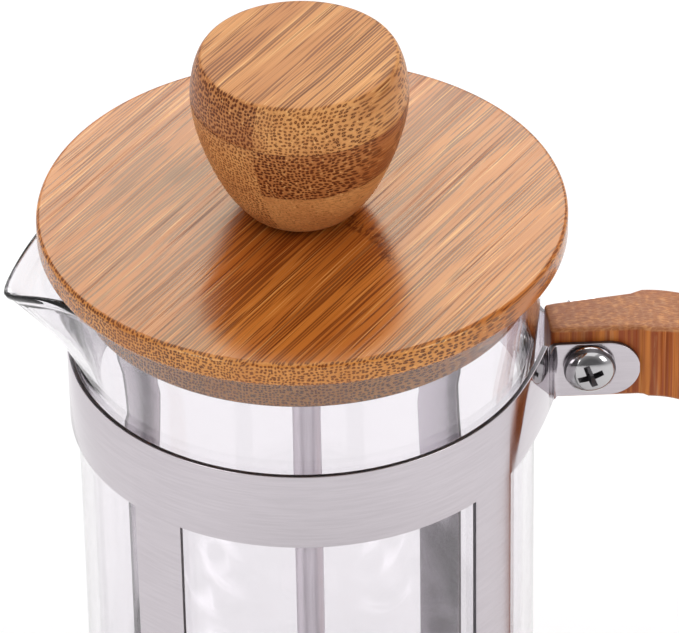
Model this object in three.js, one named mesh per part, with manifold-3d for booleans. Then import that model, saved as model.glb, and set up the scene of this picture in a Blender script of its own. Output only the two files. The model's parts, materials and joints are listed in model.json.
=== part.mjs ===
// French press with a bamboo lid, knob and handle, a glass beaker and a flat steel frame.
// Millimetres, +Z up. The origin is the middle of the underside of the foot pad, on the table.
// The handle points along +X and the pouring lip points roughly along -X.
import * as THREE from 'three';
import { mergeVertices } from 'three/addons/utils/BufferGeometryUtils.js';
import Module from 'manifold-3d';

const wasm = await Module();
wasm.setup();

const GAP = 0.3; // clearance between pieces that touch
const DEG = Math.PI / 180;

// Frame: one stamped and rolled steel sheet
const SHEET = 0.8;
const BAND_RADIUS = 36.3; // outer face
const BAND_HEIGHT = 13.2;
const UPPER_BAND_TOP = 115.7;
const LOWER_BAND_BOTTOM = 2.2;
const SLAT_WIDTH = 8.7;
const SLAT_ANGLES = [45, 135, 225, 315];
const RING_STEPS = 96; // facets of the full band circle
const FLARE_ANGLE = 30; // where the band leaves its circle for a wider one, each side of the handle
const FLARE_END = 22; // where it leaves the wider one
const FLARE_RADIUS = 90;
const EAR_SPLAY = 4.5; // degrees away from the handle's own plane
const EAR_FACE = 5.0; // outer ear face from the handle's plane, in line with the screw
const EAR_END = 51.05;
const EAR_HEIGHT = 9.7;
const EAR_OFFSET = 0.8; // ear's middle from the screw, towards the middle of the handle
const SHEAR_START = 35.9; // x where the band's free edge steps down to the ear
const SHEAR_END = 36.7;
const BEND_RADIUS = 1.4; // middle of the sheet
const TAB_REACH = 8.5; // slat ends folded in under the base plate

// Clamp screws and nuts
const SCREW_X = 43.6;
const SCREW_RADIUS = 1.75;
const SCREW_LENGTH = 15.2;
const HEAD_RADIUS = 4.0;
const HEAD_HEIGHT = 2.8;
const HOLE_RADIUS = 2.35;
const NUT_WIDTH = 7.0; // across flats
const NUT_HEIGHT = 3.0;

// Handle
const TONGUE_ROOT = 37.4;
const TONGUE_END = 51.4;
const TONGUE_OUTSIDE = 6.3; // from the screw to the handle's end face
const TONGUE_INSIDE = 6.75; // from the screw to the hand opening
const HANDLE_WIDTH = 10.8;
const HANDLE_REACH = 81.0;
const GRIP_DEPTH = 14.0;
const OUTER_BEND = 27.0;
const INNER_BEND = 16.0;
const GRIP_BOW = 1.6; // the back of the grip bulges by this much
const HANDLE_BEVEL = 1.2;

// Foot pad, base plate and glass cushion
const PAD_RADIUS = 26.0;
const PAD_TOP = 3.0;
const PLATE_RADIUS = 35.2;
const PLATE_THICKNESS = 0.8;
const CUSHION_RADIUS = 30.0;
const CUSHION_THICKNESS = 1.0;

// Beaker
const GLASS_RADIUS = 35.1;
const NECK_RADIUS = 36.1; // wider top part
const RIM_RADIUS = 36.4;
const WALL = 1.8;
const GLASS_FLOOR = 2.6;
const GLASS_CORNER = 4.0;
const RIM_TOP = 134.7;
const SHOULDER_LOW = 115.0;
const SHOULDER_HIGH = 121.5;
const GLASS_STEPS = 60;
const LIP_ANGLE = 183.0;
const LIP_REACH = 46.1; // from the axis to the lip's tip
const LIP_DROOP = 5.0; // of the tip below the rim
const LIP_HALF_ANGLE = 36.0;
const LIP_DEPTH = 18.0; // of the pressed stretch of wall
const LIP_TIP = 2.0; // degrees over which the lip's tip is rounded

// Lid and its steel bush
const LID_RADIUS = 40.0;
const LID_TOP = 139.2;
const DISC_THICKNESS = 4.15;
const PLUG_RADIUS = 33.9;
const PLUG_DEPTH = 12.1; // below the lid's top
const LID_EDGE = 0.7;
const BUSH_RADIUS = 3.2;
const BUSH_BORE = 2.5;
const BUSH_FLANGE = 6.0;
const FLANGE_THICKNESS = 0.8;

// Plunger
const ROD_RADIUS = 2.2;
const STUD_RADIUS = 1.6;
const ROD_TOP = LID_TOP + 11.5;
const COLLAR_RADIUS = 4.5;
const KNOB_TOP = LID_TOP + 27.4;
const KNOB_BOTTOM = LID_TOP + 0.5;
const INSERT_RADIUS = 4.0;
const INSERT_TOP = LID_TOP + 12.8;

// Filter stack, from the cross plate up
const HUB_BOTTOM = 9.3;
const HUB_RADIUS = 4.0;
const CROSS_BOTTOM = 10.6;
const CROSS_RADIUS = 29.0;
const MESH_BOTTOM = 11.7;
const MESH_RADIUS = 32.9;
const MESH_THICKNESS = 0.3;
const MESH_RIM = 3.6;
const SPIRAL_BOTTOM = 12.4;
const SPIRAL_RADIUS = 28.7;
const SPIRAL_THICKNESS = 0.6;
const SPRING_RING = 30.6;
const SPRING_COIL = 1.3;
const CENTRE_HOLE = 2.6;

const UPPER_CLAMP_Z = UPPER_BAND_TOP - BAND_HEIGHT / 2 - 0.6;
const LOWER_CLAMP_Z = LOWER_BAND_BOTTOM + BAND_HEIGHT / 2 + 0.6;
const CLAMPS = [{ z: UPPER_CLAMP_Z, outwards: 1 }, { z: LOWER_CLAMP_Z, outwards: -1 }];
const PLATE_BOTTOM = PAD_TOP + GAP;
const CUSHION_BOTTOM = PLATE_BOTTOM + PLATE_THICKNESS + GAP;
const GLASS_BOTTOM = CUSHION_BOTTOM + CUSHION_THICKNESS + GAP;

const COLOURS = {
  bamboo: { color: 0xc98a4b, roughness: 0.35, metalness: 0.0 },
  darkBamboo: { color: 0xb5713a, roughness: 0.4, metalness: 0.0 },
  satinSteel: { color: 0xc6bec2, roughness: 0.32, metalness: 1.0 },
  brightSteel: { color: 0xd8d8da, roughness: 0.15, metalness: 1.0 },
  glass: { color: 0xf2f4f6, roughness: 0.03, metalness: 0.0, transparent: true, opacity: 0.35 },
  silicone: { color: 0x3a3a3c, roughness: 0.7, metalness: 0.0 },
  clearSilicone: { color: 0xd9d9d6, roughness: 0.6, metalness: 0.0 },
  brass: { color: 0xc4a058, roughness: 0.3, metalness: 1.0 },
};

// ---------- general helpers ----------

// Merges shared vertices and drops the collapsed triangles at a lathe's poles.
function closed(geometry) {
  const bare = geometry.clone();
  bare.deleteAttribute('normal');
  bare.deleteAttribute('uv');
  const merged = mergeVertices(bare, 1e-4);
  const index = merged.getIndex().array;
  const kept = [];
  for (let i = 0; i < index.length; i += 3) {
    const [a, b, c] = [index[i], index[i + 1], index[i + 2]];
    if (a !== b && b !== c && c !== a) kept.push(a, b, c);
  }
  merged.setIndex(kept);
  return merged;
}

function toSolid(geometry) {
  const merged = closed(geometry);
  return new wasm.Manifold(new wasm.Mesh({
    numProp: 3,
    vertProperties: Float32Array.from(merged.getAttribute('position').array),
    triVerts: Uint32Array.from(merged.getIndex().array),
  }));
}

function toGeometry(solid) {
  const mesh = solid.getMesh();
  const geometry = new THREE.BufferGeometry();
  geometry.setAttribute('position', new THREE.BufferAttribute(mesh.vertProperties, 3));
  geometry.setIndex(new THREE.BufferAttribute(mesh.triVerts, 1));
  return geometry;
}

function cut(geometry, cutters) {
  return toGeometry(cutters.reduce((solid, cutter) => solid.subtract(toSolid(cutter)), toSolid(geometry)));
}

function join(geometry, others) {
  return toGeometry(others.reduce((solid, other) => solid.add(toSolid(other)), toSolid(geometry)));
}

// A body turned about Z. The outline holds (radius, height) pairs, rising on its outer side.
function turned(outline, steps) {
  const geometry = new THREE.LatheGeometry(outline.map(([r, z]) => new THREE.Vector2(r, z)), steps);
  return geometry.rotateX(Math.PI / 2);
}

// A turned body whose outline closes on itself, for rings and sleeves.
function turnedRing(outline, steps) {
  return turned([...outline, outline[0]], steps);
}

// A plate with its outline seen from above.
function plate(shape, bottom, thickness, curveSegments = 12) {
  const geometry = new THREE.ExtrudeGeometry(shape, { depth: thickness, bevelEnabled: false, curveSegments });
  return geometry.translate(0, 0, bottom);
}

// A body whose outline is seen from the side, in X and Z, centred on the handle's plane.
function upright(shape, width, bevel = 0, curveSegments = 12) {
  const geometry = new THREE.ExtrudeGeometry(shape, {
    depth: width - 2 * bevel,
    bevelEnabled: bevel > 0,
    bevelThickness: bevel,
    bevelSize: bevel,
    bevelOffset: -bevel,
    bevelSegments: 2,
    curveSegments,
  });
  return geometry.translate(0, 0, -width / 2 + bevel).rotateX(Math.PI / 2);
}

function polygon(points) {
  return new THREE.Shape(points.map(([x, y]) => new THREE.Vector2(x, y)));
}

function rod(radius, length, steps) {
  return new THREE.CylinderGeometry(radius, radius, length, steps);
}

function arcPoints(cx, cy, radius, from, to, steps) {
  const points = [];
  for (let i = 0; i <= steps; i++) {
    const angle = (from + ((to - from) * i) / steps) * DEG;
    points.push([cx + radius * Math.cos(angle), cy + radius * Math.sin(angle)]);
  }
  return points;
}

function onCircle(radius, degrees) {
  return [radius * Math.cos(degrees * DEG), radius * Math.sin(degrees * DEG)];
}

// ---------- frame ----------

// Distance of the outer ear face from the handle's plane at a given x.
function earFace(x) {
  return EAR_FACE + (x - SCREW_X) * Math.tan(EAR_SPLAY * DEG);
}

// The sheet's middle line on the handle's left side, seen from above: round the circle from the
// back, round the wider flare, straight off it, round the bend and out along the ear. Each entry
// is [x, y, heading in degrees].
function sheetLine() {
  const middle = BAND_RADIUS - SHEET / 2;
  const step = 360 / RING_STEPS;
  const line = [];
  for (let angle = 180; angle > FLARE_ANGLE; angle -= step) {
    line.push([...onCircle(middle, angle), angle - 90]);
  }
  const [wideX, wideY] = onCircle(middle - FLARE_RADIUS, FLARE_ANGLE);
  const flareSteps = 4;
  for (let i = 0; i <= flareSteps; i++) {
    const angle = FLARE_ANGLE + ((FLARE_END - FLARE_ANGLE) * i) / flareSteps;
    const [x, y] = onCircle(FLARE_RADIUS, angle);
    line.push([wideX + x, wideY + y, angle - 90]);
  }
  const [flareX, flareY, flareHeading] = line.at(-1);
  const turn = EAR_SPLAY - flareHeading;
  const earMiddle = (x) => earFace(x) - SHEET / 2 / Math.cos(EAR_SPLAY * DEG);
  // The corner where the flare line and the ear line would meet.
  const slope = Math.tan(flareHeading * DEG);
  const earSlope = Math.tan(EAR_SPLAY * DEG);
  const cornerX = (flareY - slope * flareX - earMiddle(0)) / (earSlope - slope);
  const cornerY = earMiddle(cornerX);
  const trim = BEND_RADIUS * Math.tan((turn / 2) * DEG);
  const [along, across] = onCircle(1, flareHeading);
  const centreX = cornerX - trim * along - BEND_RADIUS * across;
  const centreY = cornerY - trim * across + BEND_RADIUS * along;
  const bendSteps = 6;
  for (let i = 0; i <= bendSteps; i++) {
    const heading = flareHeading + (turn * i) / bendSteps;
    const x = centreX + BEND_RADIUS * Math.sin(heading * DEG);
    const y = centreY - BEND_RADIUS * Math.cos(heading * DEG);
    line.push([x, y, heading]);
  }
  line.push([EAR_END, earMiddle(EAR_END), EAR_SPLAY]);
  return line;
}

// Offsets the sheet's middle line by half its thickness to one side.
function offsetLine(line, distance) {
  return line.map(([x, y, heading]) => [
    x - distance * Math.sin(heading * DEG),
    y + distance * Math.cos(heading * DEG),
  ]);
}

function sheetShape() {
  const line = sheetLine();
  const outside = offsetLine(line, SHEET / 2);
  const inside = offsetLine(line, -SHEET / 2);
  const mirrored = (points) => points.slice(1).map(([x, y]) => [x, -y]).reverse();
  const inwards = inside.toReversed();
  return polygon([...mirrored(outside), ...outside, ...inwards, ...mirrored(inside).reverse()]);
}

// A wedge from the axis outwards, which opens one window between two slats.
function windowCutter(from, to) {
  const reach = 3 * BAND_RADIUS;
  const bottom = LOWER_BAND_BOTTOM + BAND_HEIGHT;
  const top = UPPER_BAND_TOP - BAND_HEIGHT;
  return plate(polygon([[0, 0], onCircle(reach, from), onCircle(reach, to)]), bottom, top - bottom);
}

// Leaves an ear of its own height with a round end, and clears the sheet round it. The outline is
// drawn with the frame's free edge upwards and turned over for the lower clamp.
function earTrimmer({ z, outwards }) {
  const half = EAR_HEIGHT / 2;
  const rootX = TONGUE_ROOT + 0.6;
  const shape = new THREE.Shape();
  shape.moveTo(rootX, -BAND_HEIGHT);
  shape.lineTo(EAR_END + 10, -BAND_HEIGHT);
  shape.lineTo(EAR_END + 10, BAND_HEIGHT);
  shape.lineTo(SHEAR_START, BAND_HEIGHT);
  shape.lineTo(SHEAR_START, half + 0.6);
  shape.lineTo(SHEAR_END, half);
  shape.lineTo(EAR_END - half, half);
  shape.absarc(EAR_END - half, 0, half, Math.PI / 2, -Math.PI / 2, true);
  shape.lineTo(rootX, -half);
  const trimmer = upright(shape, 40);
  if (outwards < 0) trimmer.rotateX(Math.PI);
  return trimmer.translate(0, 0, z - outwards * EAR_OFFSET);
}

// The screw's line leans with the near ear, so its head sits flat on it.
function leaned(geometry, degrees, centreZ) {
  return geometry.rotateZ(degrees * DEG).translate(SCREW_X, 0, centreZ);
}

function screwHole(centreZ) {
  return leaned(rod(HOLE_RADIUS, 40, 16), -EAR_SPLAY, centreZ);
}

// A slat's lower end, folded inwards under the base plate.
function foldedTab(angle) {
  const outer = BAND_RADIUS - SHEET + 0.2;
  const geometry = new THREE.BoxGeometry(TAB_REACH, SLAT_WIDTH, SHEET);
  geometry.translate(outer - TAB_REACH / 2, 0, LOWER_BAND_BOTTOM + SHEET / 2);
  return geometry.rotateZ(angle * DEG);
}

function frameShell() {
  const sheet = plate(sheetShape(), LOWER_BAND_BOTTOM, UPPER_BAND_TOP - LOWER_BAND_BOTTOM);
  const halfSlat = SLAT_WIDTH / 2 / BAND_RADIUS / DEG;
  const windows = SLAT_ANGLES.map((angle) => windowCutter(angle + halfSlat, angle + 90 - halfSlat));
  const screwHoles = CLAMPS.map(({ z }) => screwHole(z));
  const opened = cut(sheet, [...windows, ...CLAMPS.map(earTrimmer), ...screwHoles]);
  return join(opened, SLAT_ANGLES.map(foldedTab));
}

// ---------- handle, screws and nuts ----------

// A D with two tongues, seen from the side and drawn about the middle of its height.
function handleShape() {
  const halfSpan = (UPPER_CLAMP_Z - LOWER_CLAMP_Z) / 2;
  const top = halfSpan + TONGUE_OUTSIDE;
  const under = halfSpan - TONGUE_INSIDE;
  const innerX = HANDLE_REACH - GRIP_DEPTH;
  const innerStart = innerX - INNER_BEND;
  const innerPull = INNER_BEND * 0.45;
  const outerX = HANDLE_REACH - GRIP_BOW;
  const outerStart = TONGUE_END + 0.6;
  const outerPull = OUTER_BEND * 0.4;
  const shape = new THREE.Shape();
  shape.moveTo(TONGUE_ROOT, under);
  shape.lineTo(innerStart, under);
  shape.bezierCurveTo(innerX - innerPull, under, innerX, under - innerPull, innerX, under - INNER_BEND);
  shape.lineTo(innerX, INNER_BEND - under);
  shape.bezierCurveTo(innerX, innerPull - under, innerX - innerPull, -under, innerStart, -under);
  shape.lineTo(TONGUE_ROOT, -under);
  shape.lineTo(TONGUE_ROOT, -top);
  shape.lineTo(outerStart, -top);
  shape.bezierCurveTo(outerStart + outerPull, -top, outerX, outerPull - top, outerX, OUTER_BEND - top);
  shape.quadraticCurveTo(HANDLE_REACH + GRIP_BOW, 0, outerX, top - OUTER_BEND);
  shape.bezierCurveTo(outerX, top - outerPull, outerStart + outerPull, top, outerStart, top);
  shape.lineTo(TONGUE_ROOT, top);
  return shape;
}

// Cuts one side of a tongue down to its taper, so that the ear lies along it.
function tongueTaper(side, centreZ) {
  const inner = (x) => earFace(x) - SHEET / Math.cos(EAR_SPLAY * DEG) - GAP;
  const shape = polygon([
    [TONGUE_ROOT - 5, side * inner(TONGUE_ROOT - 5)],
    [TONGUE_END, side * inner(TONGUE_END)],
    [TONGUE_END + 0.8, side * HANDLE_WIDTH],
    [TONGUE_ROOT - 5, side * HANDLE_WIDTH],
  ]);
  return plate(shape, centreZ - 2 * TONGUE_INSIDE, 4 * TONGUE_INSIDE);
}

function handle() {
  const body = upright(handleShape(), HANDLE_WIDTH, HANDLE_BEVEL, 7);
  body.translate(0, 0, (UPPER_CLAMP_Z + LOWER_CLAMP_Z) / 2);
  const tapers = CLAMPS.flatMap(({ z }) => [tongueTaper(1, z), tongueTaper(-1, z)]);
  return cut(body, [...tapers, ...CLAMPS.map(({ z }) => screwHole(z))]);
}

// A pan head with a cross recess, its head towards -Y.
function clampScrew(centreZ) {
  const seat = EAR_FACE + GAP;
  const outline = [
    [0, -SCREW_LENGTH],
    [SCREW_RADIUS - 0.4, -SCREW_LENGTH],
    [SCREW_RADIUS, -SCREW_LENGTH + 0.5],
    [SCREW_RADIUS, 0],
    [HEAD_RADIUS, 0],
    [HEAD_RADIUS, 1.2],
    [HEAD_RADIUS - 0.5, HEAD_HEIGHT - 0.7],
    [HEAD_RADIUS - 1.6, HEAD_HEIGHT - 0.15],
    [0, HEAD_HEIGHT],
  ];
  const recessDepth = 1.5;
  const slot = (angle) => new THREE.BoxGeometry(4.2, 0.95, 2 * recessDepth)
    .translate(0, 0, HEAD_HEIGHT).rotateZ(angle * DEG);
  const screw = cut(turned(outline, 20), [slot(20), slot(110)]);
  return leaned(screw.rotateX(Math.PI / 2).translate(0, -seat, 0), -EAR_SPLAY, centreZ);
}

// The nut sits flat on the far ear, threaded on the leaning screw.
function clampNut(centreZ) {
  const across = NUT_WIDTH / Math.sqrt(3);
  const hexagon = new THREE.CylinderGeometry(across, across, NUT_HEIGHT, 6);
  const nut = cut(hexagon, [rod(SCREW_RADIUS + GAP + 0.05, 3 * NUT_HEIGHT, 16)]);
  const rise = (GAP + NUT_HEIGHT / 2) * Math.cos(EAR_SPLAY * DEG);
  const y = EAR_FACE + 0.05 + rise;
  return nut.rotateZ(EAR_SPLAY * DEG).translate(SCREW_X + y * Math.tan(EAR_SPLAY * DEG), y, centreZ);
}

// ---------- base ----------

function footPad() {
  const edge = 0.8;
  return turned([
    [0, 0],
    [PAD_RADIUS - edge, 0],
    [PAD_RADIUS, edge],
    [PAD_RADIUS, PAD_TOP],
    [0, PAD_TOP],
  ], 48);
}

function basePlate() {
  const top = PLATE_BOTTOM + PLATE_THICKNESS;
  return turned([[0, PLATE_BOTTOM], [PLATE_RADIUS, PLATE_BOTTOM], [PLATE_RADIUS, top], [0, top]], 60);
}

function glassCushion() {
  const top = CUSHION_BOTTOM + CUSHION_THICKNESS;
  return turned([[0, CUSHION_BOTTOM], [CUSHION_RADIUS, CUSHION_BOTTOM], [CUSHION_RADIUS, top], [0, top]], 48);
}

// ---------- beaker ----------

// Radius of the beaker's outer face at height z, away from the lip.
function glassRadius(z) {
  const t = THREE.MathUtils.smoothstep(z, SHOULDER_LOW, SHOULDER_HIGH);
  return THREE.MathUtils.lerp(GLASS_RADIUS, NECK_RADIUS, t);
}

function beakerOutline() {
  const low = GLASS_BOTTOM + GLASS_CORNER;
  const floor = GLASS_BOTTOM + GLASS_FLOOR;
  const innerCorner = GLASS_CORNER - WALL / 2;
  const heights = [SHOULDER_LOW, 118.2, SHOULDER_HIGH, 125.0, 128.5, 131.5];
  const bead = (RIM_RADIUS - NECK_RADIUS + WALL) / 2;
  return [
    [0, GLASS_BOTTOM],
    ...arcPoints(GLASS_RADIUS - GLASS_CORNER, low, GLASS_CORNER, -90, 0, 3),
    ...heights.map((z) => [glassRadius(z), z]),
    ...arcPoints(RIM_RADIUS - bead, RIM_TOP - bead, bead, 0, 180, 4),
    ...heights.toReversed().map((z) => [glassRadius(z) - WALL, z]),
    ...arcPoints(GLASS_RADIUS - WALL - innerCorner, floor + innerCorner, innerCorner, 0, -90, 2),
    [0, floor],
  ];
}

// How far the wall is pressed out and down for the pouring lip, for a point at an angle from the
// lip's middle and at a height z: a beak with hollow flanks in plan, dying away down the wall.
function lipPress(angle, z) {
  const side = Math.hypot(angle, LIP_TIP) - LIP_TIP;
  if (side >= LIP_HALF_ANGLE || z <= RIM_TOP - LIP_DEPTH) return { out: 0, down: 0 };
  const flank = (1 - side / LIP_HALF_ANGLE) ** 2.15;
  const rise = (z - RIM_TOP + LIP_DEPTH) / LIP_DEPTH;
  return { out: (LIP_REACH - RIM_RADIUS) * flank * rise ** 1.25, down: LIP_DROOP * flank ** 1.8 * rise };
}

function beaker() {
  const geometry = turned(beakerOutline(), GLASS_STEPS).rotateZ(LIP_ANGLE * DEG);
  const position = geometry.getAttribute('position');
  for (let i = 0; i < position.count; i++) {
    const [x, y, z] = [position.getX(i), position.getY(i), position.getZ(i)];
    const radius = Math.hypot(x, y);
    const turn = THREE.MathUtils.euclideanModulo(Math.atan2(y, x) / DEG - LIP_ANGLE + 180, 360) - 180;
    const { out, down } = lipPress(turn, z);
    if (out === 0) continue;
    const scale = (radius + out) / radius;
    position.setXYZ(i, x * scale, y * scale, z - down);
  }
  return geometry;
}

// ---------- lid ----------

function lid() {
  const plugBottom = LID_TOP - PLUG_DEPTH;
  const discBottom = LID_TOP - DISC_THICKNESS;
  const bore = BUSH_RADIUS + GAP;
  const seat = LID_TOP - FLANGE_THICKNESS - GAP + 0.1;
  return turnedRing([
    [bore, plugBottom],
    [PLUG_RADIUS - LID_EDGE, plugBottom],
    [PLUG_RADIUS, plugBottom + LID_EDGE],
    [PLUG_RADIUS, discBottom],
    ...arcPoints(LID_RADIUS - LID_EDGE, discBottom + LID_EDGE, LID_EDGE, -90, 0, 2),
    ...arcPoints(LID_RADIUS - LID_EDGE, LID_TOP - LID_EDGE, LID_EDGE, 0, 90, 2),
    [BUSH_FLANGE + GAP, LID_TOP],
    [BUSH_FLANGE + GAP, seat],
    [bore, seat],
  ], 60);
}

function lidBush() {
  const top = LID_TOP + 0.1;
  const under = LID_TOP - PLUG_DEPTH - GAP;
  const lip = BUSH_RADIUS + 1.6;
  return turnedRing([
    [BUSH_BORE, under - FLANGE_THICKNESS],
    [lip, under - FLANGE_THICKNESS],
    [lip, under],
    [BUSH_RADIUS, under],
    [BUSH_RADIUS, top - FLANGE_THICKNESS],
    [BUSH_FLANGE, top - FLANGE_THICKNESS],
    [BUSH_FLANGE, top],
    [BUSH_BORE, top],
  ], 28);
}

// ---------- plunger ----------

function knobProfile() {
  const at = (radius, rise) => new THREE.Vector2(radius, LID_TOP + rise);
  const side = new THREE.SplineCurve([
    at(8.1, 1.0), at(9.3, 2.1), at(11.4, 5.0), at(13.15, 8.5), at(14.75, 12.7), at(15.9, 17.0),
    at(16.3, 20.8), at(15.95, 24.0), at(15.35, 26.1),
  ]);
  return side.getPoints(10).map((point) => [point.x, point.y]);
}

function knob() {
  const bore = INSERT_RADIUS + GAP;
  const boreTop = INSERT_TOP + GAP;
  return turned([
    [0, boreTop],
    [bore, boreTop],
    [bore, KNOB_BOTTOM],
    [7.2, KNOB_BOTTOM],
    ...knobProfile(),
    [14.95, KNOB_TOP - 0.55],
    [14.2, KNOB_TOP],
    [0, KNOB_TOP],
  ], 40);
}

function knobInsert() {
  const bottom = KNOB_BOTTOM + GAP;
  const bore = ROD_RADIUS + GAP;
  return turnedRing([
    [bore, bottom],
    [INSERT_RADIUS, bottom],
    [INSERT_RADIUS, INSERT_TOP],
    [bore, INSERT_TOP],
  ], 20);
}

function plungerRod() {
  const collarBottom = SPIRAL_BOTTOM + SPIRAL_THICKNESS + GAP;
  const collarTop = collarBottom + 1.3;
  return turned([
    [0, HUB_BOTTOM + 0.3],
    [STUD_RADIUS, HUB_BOTTOM + 0.3],
    [STUD_RADIUS, collarBottom],
    [COLLAR_RADIUS, collarBottom],
    [COLLAR_RADIUS, collarTop],
    [ROD_RADIUS, collarTop],
    [ROD_RADIUS, ROD_TOP],
    [0, ROD_TOP],
  ], 20);
}

function roundHole(cx, cy, radius) {
  const hole = new THREE.Path();
  hole.absarc(cx, cy, radius, 0, 2 * Math.PI, true);
  return hole;
}

function disc(radius) {
  const shape = new THREE.Shape();
  shape.absarc(0, 0, radius, 0, 2 * Math.PI, false);
  return shape;
}

// A ring of round holes in a disc.
function holeRing(count, ringRadius, holeRadius) {
  const holes = [];
  for (let i = 0; i < count; i++) {
    holes.push(roundHole(...onCircle(ringRadius, (360 * i) / count), holeRadius));
  }
  return holes;
}

// A ring of openings with round inner and outer edges, parted by spokes.
function spokeRing(count, inner, outer, spoke) {
  const openings = [];
  for (let i = 0; i < count; i++) {
    const [from, to] = [(360 * i) / count, (360 * (i + 1)) / count];
    const trimOuter = spoke / 2 / outer / DEG;
    const trimInner = spoke / 2 / inner / DEG;
    const points = [
      ...arcPoints(0, 0, outer, from + trimOuter, to - trimOuter, 5),
      ...arcPoints(0, 0, inner, to - trimInner, from + trimInner, 3),
    ];
    openings.push(polygon(points));
  }
  return openings;
}

function spiralPlate() {
  const shape = disc(SPIRAL_RADIUS);
  shape.holes.push(roundHole(0, 0, CENTRE_HOLE), ...holeRing(8, 11.5, 2.8), ...holeRing(14, 21.0, 2.8));
  return plate(shape, SPIRAL_BOTTOM, SPIRAL_THICKNESS, 6);
}

function crossPlate() {
  const shape = disc(CROSS_RADIUS);
  const hubHole = roundHole(0, 0, HUB_RADIUS + GAP);
  shape.holes.push(hubHole, ...spokeRing(4, 8.0, 15.5, 4.5), ...spokeRing(8, 18.5, 26.0, 4.0));
  return plate(shape, CROSS_BOTTOM, SHEET, 10);
}

function crossPlateHub() {
  const bore = STUD_RADIUS + GAP;
  const flangeTop = CROSS_BOTTOM - GAP;
  const top = CROSS_BOTTOM + SHEET;
  return turnedRing([
    [bore, HUB_BOTTOM],
    [HUB_RADIUS + 1.6, HUB_BOTTOM],
    [HUB_RADIUS + 1.6, flangeTop],
    [HUB_RADIUS, flangeTop],
    [HUB_RADIUS, top],
    [bore, top],
  ], 20);
}

// The fine screen: a flat disc with its edge turned up round the spring.
function filterMesh() {
  const top = MESH_BOTTOM + MESH_RIM;
  const inner = MESH_RADIUS - MESH_THICKNESS;
  return turnedRing([
    [CENTRE_HOLE, MESH_BOTTOM],
    [MESH_RADIUS - 0.8, MESH_BOTTOM],
    [MESH_RADIUS, MESH_BOTTOM + 0.8],
    [MESH_RADIUS, top],
    [inner, top],
    [inner, MESH_BOTTOM + 0.9],
    [inner - 0.6, MESH_BOTTOM + MESH_THICKNESS],
    [CENTRE_HOLE, MESH_BOTTOM + MESH_THICKNESS],
  ], 48);
}

function edgeSpring() {
  const geometry = new THREE.TorusGeometry(SPRING_RING, SPRING_COIL, 8, 48);
  return geometry.translate(0, 0, MESH_BOTTOM + MESH_THICKNESS + GAP + SPRING_COIL);
}

// ---------- assembly ----------

const press = new THREE.Group();

function add(name, finish, geometry) {
  const mesh = new THREE.Mesh(closed(geometry), new THREE.MeshStandardMaterial(COLOURS[finish]));
  mesh.name = name;
  press.add(mesh);
}

add('foot_pad', 'silicone', footPad());
add('base_plate', 'satinSteel', basePlate());
add('glass_cushion', 'clearSilicone', glassCushion());
add('frame_shell', 'satinSteel', frameShell());
add('handle', 'darkBamboo', handle());
add('upper_clamp_screw', 'brightSteel', clampScrew(UPPER_CLAMP_Z));
add('lower_clamp_screw', 'brightSteel', clampScrew(LOWER_CLAMP_Z));
add('upper_clamp_nut', 'brightSteel', clampNut(UPPER_CLAMP_Z));
add('lower_clamp_nut', 'brightSteel', clampNut(LOWER_CLAMP_Z));
add('glass_beaker', 'glass', beaker());
add('lid', 'bamboo', lid());
add('lid_bush', 'brightSteel', lidBush());
add('knob', 'bamboo', knob());
add('knob_insert', 'brass', knobInsert());
add('plunger_rod', 'brightSteel', plungerRod());
add('spiral_plate', 'brightSteel', spiralPlate());
add('edge_spring', 'brightSteel', edgeSpring());
add('filter_mesh', 'satinSteel', filterMesh());
add('cross_plate', 'brightSteel', crossPlate());
add('cross_plate_hub', 'brightSteel', crossPlateHub());

export default press;
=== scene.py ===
import json
from math import atan2, ceil, cos, degrees, hypot, pi, radians, sin, sqrt, tan

import bmesh
import bpy
from mathutils import Matrix, Vector


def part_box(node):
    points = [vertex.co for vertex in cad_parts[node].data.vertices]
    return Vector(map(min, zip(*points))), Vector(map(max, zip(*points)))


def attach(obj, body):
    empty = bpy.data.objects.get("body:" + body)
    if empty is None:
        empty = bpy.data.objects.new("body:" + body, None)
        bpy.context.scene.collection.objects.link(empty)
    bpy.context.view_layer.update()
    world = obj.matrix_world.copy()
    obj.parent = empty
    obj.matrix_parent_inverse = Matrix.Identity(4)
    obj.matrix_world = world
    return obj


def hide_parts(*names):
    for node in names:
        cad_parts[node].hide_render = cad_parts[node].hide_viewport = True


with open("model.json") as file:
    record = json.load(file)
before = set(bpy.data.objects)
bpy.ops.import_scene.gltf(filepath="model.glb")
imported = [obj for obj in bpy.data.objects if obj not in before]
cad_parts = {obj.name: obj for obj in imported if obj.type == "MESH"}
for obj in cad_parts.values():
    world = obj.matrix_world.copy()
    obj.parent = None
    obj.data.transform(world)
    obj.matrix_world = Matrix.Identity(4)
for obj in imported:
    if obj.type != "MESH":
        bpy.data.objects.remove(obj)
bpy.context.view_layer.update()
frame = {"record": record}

MM = 0.001


def span(node):
    """Lowest and highest corner of a CAD node, in millimetres."""
    low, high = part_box(node)
    return low / MM, high / MM


def middle(node):
    low, high = span(node)
    return (low + high) / 2


BODY_OF = {node: body for body, nodes in frame["record"]["behaviour"]["bodies"].items() for node in nodes}

FRAME_LOW, FRAME_HIGH = span("frame_shell")
HANDLE_LOW, HANDLE_HIGH = span("handle")
LID_LOW, LID_HIGH = span("lid")
KNOB_LOW, KNOB_HIGH = span("knob")
GLASS_LOW, GLASS_HIGH = span("glass_beaker")
LID_TOP = LID_HIGH.z

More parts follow.
